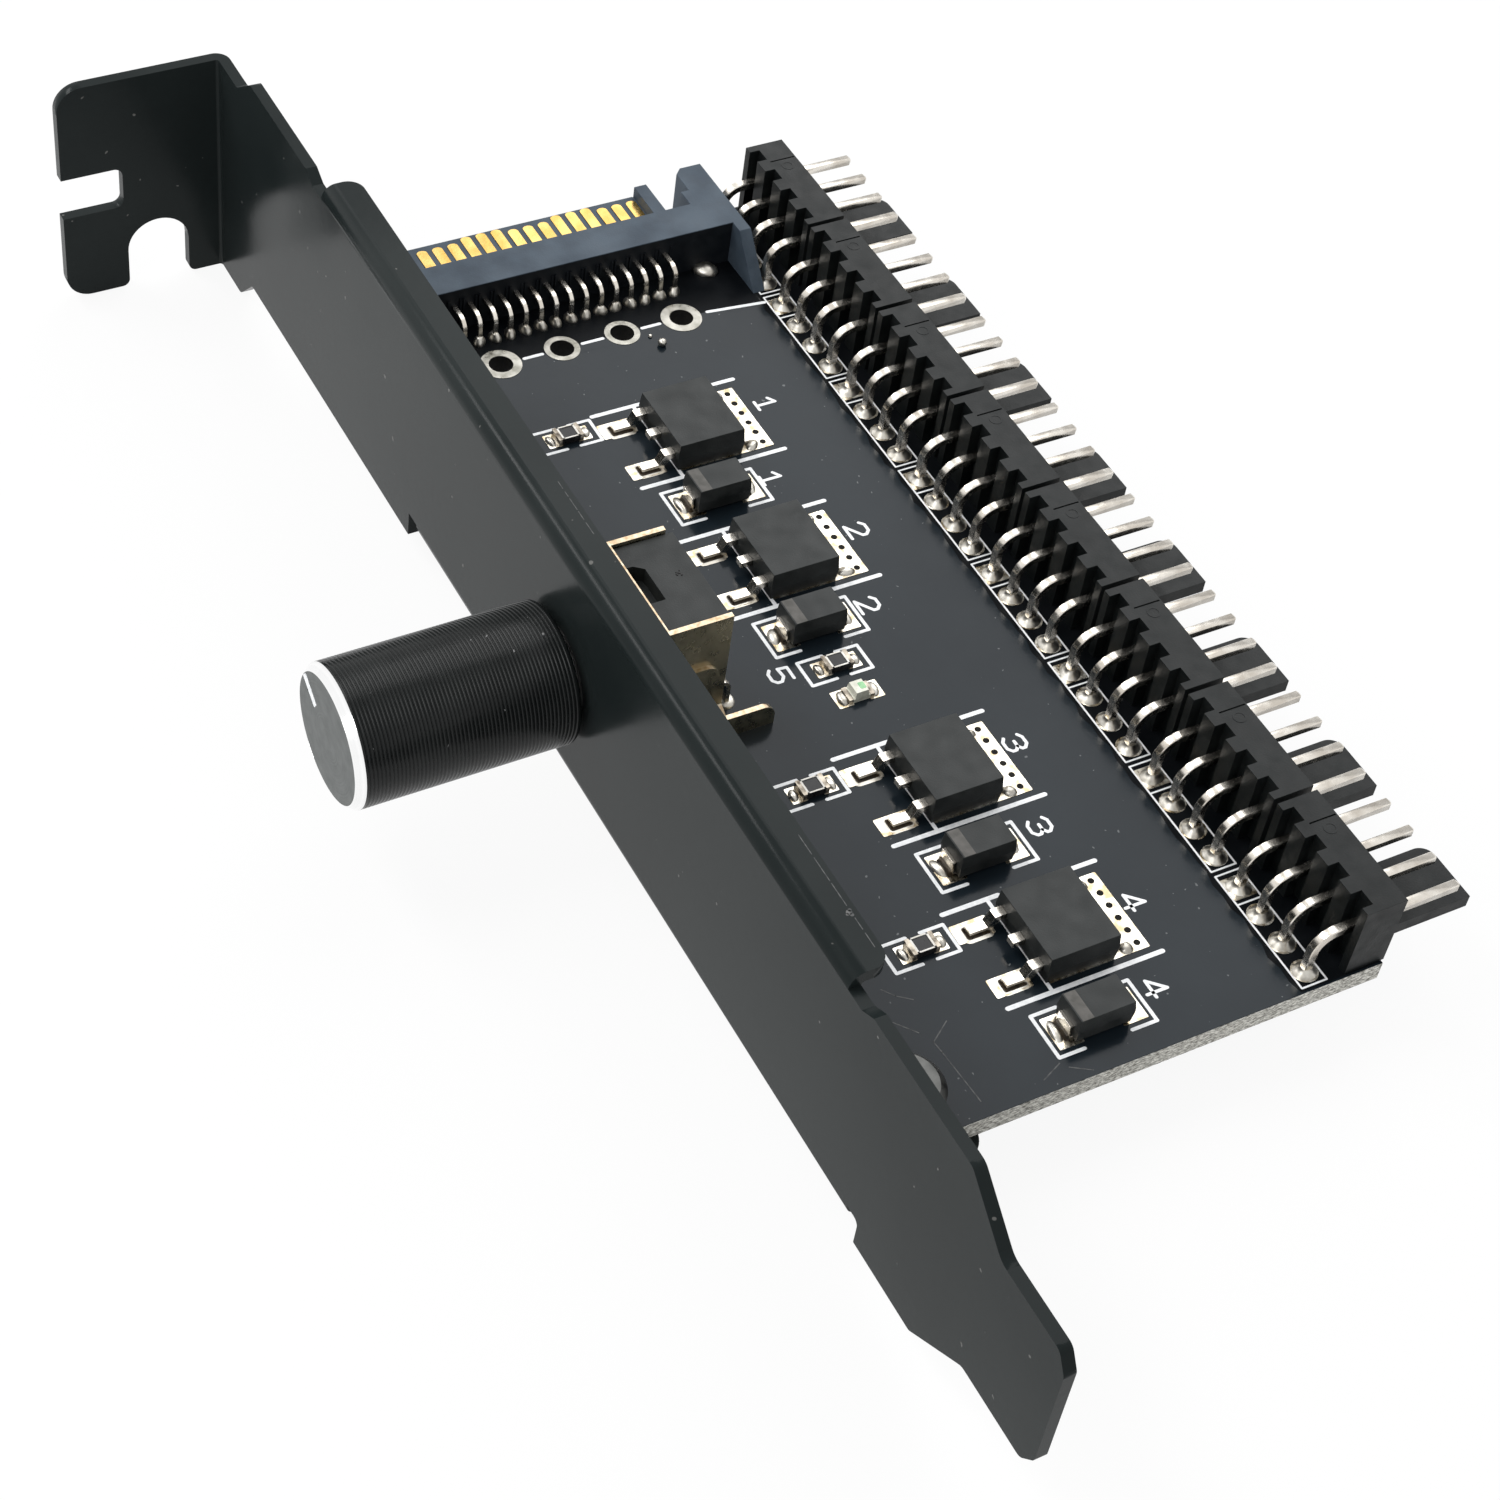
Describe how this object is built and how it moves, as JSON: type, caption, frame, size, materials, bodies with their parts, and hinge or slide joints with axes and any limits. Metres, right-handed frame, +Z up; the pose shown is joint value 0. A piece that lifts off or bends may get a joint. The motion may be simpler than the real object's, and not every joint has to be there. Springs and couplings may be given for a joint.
{
  "type": "fan controller hub",
  "caption": "Slot bracket with a circuit board that splits one flat power plug to a row of fan headers, with a speed knob through the bracket.",
  "frame": {"origin": "on the seat face of the bracket's tab, on the screw slot's centre line, in the whole metal between the slot and the fold", "axes": "+X out of the seat face along the bracket to its tongue, +Y from the bracket over the board to the fan headers, +Z up from the component side of the board"},
  "size_m": [0.1217, 0.0652, 0.0217],
  "materials": {
    "bracket_paint": "satin",
    "screw_black": "satin",
    "board": "gloss",
    "black_plastic": "matte",
    "plug_plastic": "matte",
    "epoxy": "matte",
    "ceramic": "gloss",
    "carbon": "matte",
    "lens": "clear",
    "tin": "bright",
    "contact_gold": "bright",
    "frame_metal": "satin",
    "bushing_metal": "satin",
    "shaft_metal": "satin",
    "knob_metal": "satin"
  },
  "bodies": {
    "hub": {"bracket": "bracket_paint", "bracket_screws": "screw_black", "circuit_board": "board", "diode_1": "epoxy", "diode_2": "epoxy", "diode_3": "epoxy", "diode_4": "epoxy", "diode_leads_1": "tin", "diode_leads_2": "tin", "diode_leads_3": "tin", "diode_leads_4": "tin", "header_1": "black_plastic", "header_2": "black_plastic", "header_3": "black_plastic", "header_4": "black_plastic", "header_5": "black_plastic", "header_6": "black_plastic", "header_7": "black_plastic", "header_8": "black_plastic", "header_pins_1": "tin", "header_pins_2": "tin", "header_pins_3": "tin", "header_pins_4": "tin", "header_pins_5": "tin", "header_pins_6": "tin", "header_pins_7": "tin", "header_pins_8": "tin", "led": "lens", "plug_contacts": "contact_gold", "plug_housing": "plug_plastic", "pot_body": "black_plastic", "pot_bushing": "bushing_metal", "pot_frame": "frame_metal", "pot_terminals": "tin", "pot_track": "carbon", "resistor_1": "ceramic", "resistor_2": "ceramic", "resistor_3": "ceramic", "resistor_4": "ceramic", "resistor_5": "ceramic", "transistor_1": "epoxy", "transistor_2": "epoxy", "transistor_3": "epoxy", "transistor_4": "epoxy", "transistor_leads_1": "tin", "transistor_leads_2": "tin", "transistor_leads_3": "tin", "transistor_leads_4": "tin"},
    "knob": {"knob_cap": "knob_metal", "knob_insert": "black_plastic", "pot_shaft": "shaft_metal", "pot_rotor": "black_plastic", "pot_wiper": "frame_metal"}
  },
  "joints": [
    {"name": "knob_turn", "type": "hinge", "parent": "hub", "child": "knob", "pos_m": [0.05931, 0.00392, 0.00176], "axis": [0, 1, 0], "range_deg": [-182, 118]}
  ]
}
